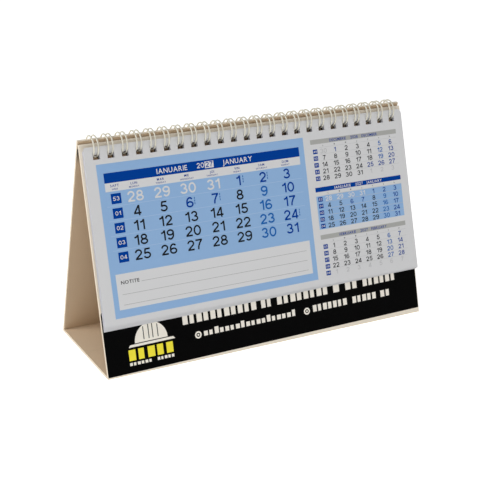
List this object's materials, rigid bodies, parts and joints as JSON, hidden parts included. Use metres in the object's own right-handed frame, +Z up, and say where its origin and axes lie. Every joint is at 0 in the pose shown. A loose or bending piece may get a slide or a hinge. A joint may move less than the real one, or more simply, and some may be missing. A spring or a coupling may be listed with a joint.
{
  "type": "flip desk calendar",
  "caption": "Tent-shaped desk calendar: a creased board stand with a twin-loop wire along its top that carries month sheets, each turned over to the back.",
  "frame": {"origin": "on the table, under the middle of the tent's footprint", "axes": "+X along the wire, -Y the side that shows the month, +Z up"},
  "size_m": [0.21, 0.0708, 0.1289],
  "materials": {
    "board": "matt",
    "wire": "satin",
    "sheet": "matt"
  },
  "bodies": {
    "front_panel": {"front_panel": "board", "wire_binding": "wire"},
    "back_panel": {"back_panel": "board"},
    "floor_front": {"floor_front": "board"},
    "floor_rear": {"floor_rear": "board"},
    "january_sheet": {"january_sheet": "sheet"},
    "february_sheet": {"february_sheet": "sheet"},
    "march_sheet": {"march_sheet": "sheet"},
    "april_sheet": {"april_sheet": "sheet"},
    "may_sheet": {"may_sheet": "sheet"},
    "june_sheet": {"june_sheet": "sheet"},
    "july_sheet": {"july_sheet": "sheet"},
    "august_sheet": {"august_sheet": "sheet"},
    "september_sheet": {"september_sheet": "sheet"},
    "october_sheet": {"october_sheet": "sheet"},
    "november_sheet": {"november_sheet": "sheet"},
    "december_sheet": {"december_sheet": "sheet"}
  },
  "joints": [
    {"name": "back_panel_fold", "type": "hinge", "parent": "front_panel", "child": "back_panel", "pos_m": [0, 0.00278, 0.12253], "axis": [-1, 0, 0], "range_deg": [0, 28.49], "deforming": ["floor_front", "floor_rear"]},
    {"name": "floor_front_fold", "type": "hinge", "parent": "front_panel", "child": "floor_front", "pos_m": [0, -0.03316, 0.00175], "axis": [1, 0, 0], "range_deg": [0, 73.6]},
    {"name": "floor_rear_fold", "type": "hinge", "parent": "back_panel", "child": "floor_rear", "pos_m": [0, 0.03327, 0.00175], "axis": [-1, 0, 0], "range_deg": [0, 76.12]},
    {"name": "january_sheet_turn", "type": "hinge", "parent": "front_panel", "child": "january_sheet", "pos_m": [0, 0.00564, 0.13516], "axis": [-1, 0, 0], "range_deg": [0, 328.94], "deforming": ["january_sheet"]},
    {"name": "february_sheet_turn", "type": "hinge", "parent": "front_panel", "child": "february_sheet", "pos_m": [0, 0.00508, 0.13518], "axis": [-1, 0, 0], "range_deg": [0, 328.94], "deforming": ["february_sheet"]},
    {"name": "march_sheet_turn", "type": "hinge", "parent": "front_panel", "child": "march_sheet", "pos_m": [0, 0.00454, 0.1352], "axis": [-1, 0, 0], "range_deg": [0, 328.94], "deforming": ["march_sheet"]},
    {"name": "april_sheet_turn", "type": "hinge", "parent": "front_panel", "child": "april_sheet", "pos_m": [0, 0.004, 0.13521], "axis": [-1, 0, 0], "range_deg": [0, 328.94], "deforming": ["april_sheet"]},
    {"name": "may_sheet_turn", "type": "hinge", "parent": "front_panel", "child": "may_sheet", "pos_m": [0, 0.00347, 0.13523], "axis": [-1, 0, 0], "range_deg": [0, 328.94], "deforming": ["may_sheet"]},
    {"name": "june_sheet_turn", "type": "hinge", "parent": "front_panel", "child": "june_sheet", "pos_m": [0, 0.00295, 0.13524], "axis": [-1, 0, 0], "range_deg": [0, 328.94], "deforming": ["june_sheet"]},
    {"name": "july_sheet_turn", "type": "hinge", "parent": "front_panel", "child": "july_sheet", "pos_m": [0, 0.00242, 0.13525], "axis": [-1, 0, 0], "range_deg": [0, 328.94], "deforming": ["july_sheet"]},
    {"name": "august_sheet_turn", "type": "hinge", "parent": "front_panel", "child": "august_sheet", "pos_m": [0, 0.00189, 0.13526], "axis": [-1, 0, 0], "range_deg": [0, 328.94], "deforming": ["august_sheet"]},
    {"name": "september_sheet_turn", "type": "hinge", "parent": "front_panel", "child": "september_sheet", "pos_m": [0, 0.00135, 0.13527], "axis": [-1, 0, 0], "range_deg": [0, 328.94], "deforming": ["september_sheet"]},
    {"name": "october_sheet_turn", "type": "hinge", "parent": "front_panel", "child": "october_sheet", "pos_m": [0, 0.0008, 0.13528], "axis": [-1, 0, 0], "range_deg": [0, 328.94], "deforming": ["october_sheet"]},
    {"name": "november_sheet_turn", "type": "hinge", "parent": "front_panel", "child": "november_sheet", "pos_m": [0, 0.00023, 0.13528], "axis": [-1, 0, 0], "range_deg": [0, 328.94], "deforming": ["november_sheet"]},
    {"name": "december_sheet_turn", "type": "hinge", "parent": "front_panel", "child": "december_sheet", "pos_m": [0, -0.00037, 0.13529], "axis": [-1, 0, 0], "range_deg": [0, 328.94], "deforming": ["december_sheet"]}
  ],
  "couplings": [
    {"joint": "floor_front_fold", "follows": "back_panel_fold", "ratio": 2.5834},
    {"joint": "floor_rear_fold", "follows": "back_panel_fold", "ratio": 2.6719}
  ]
}
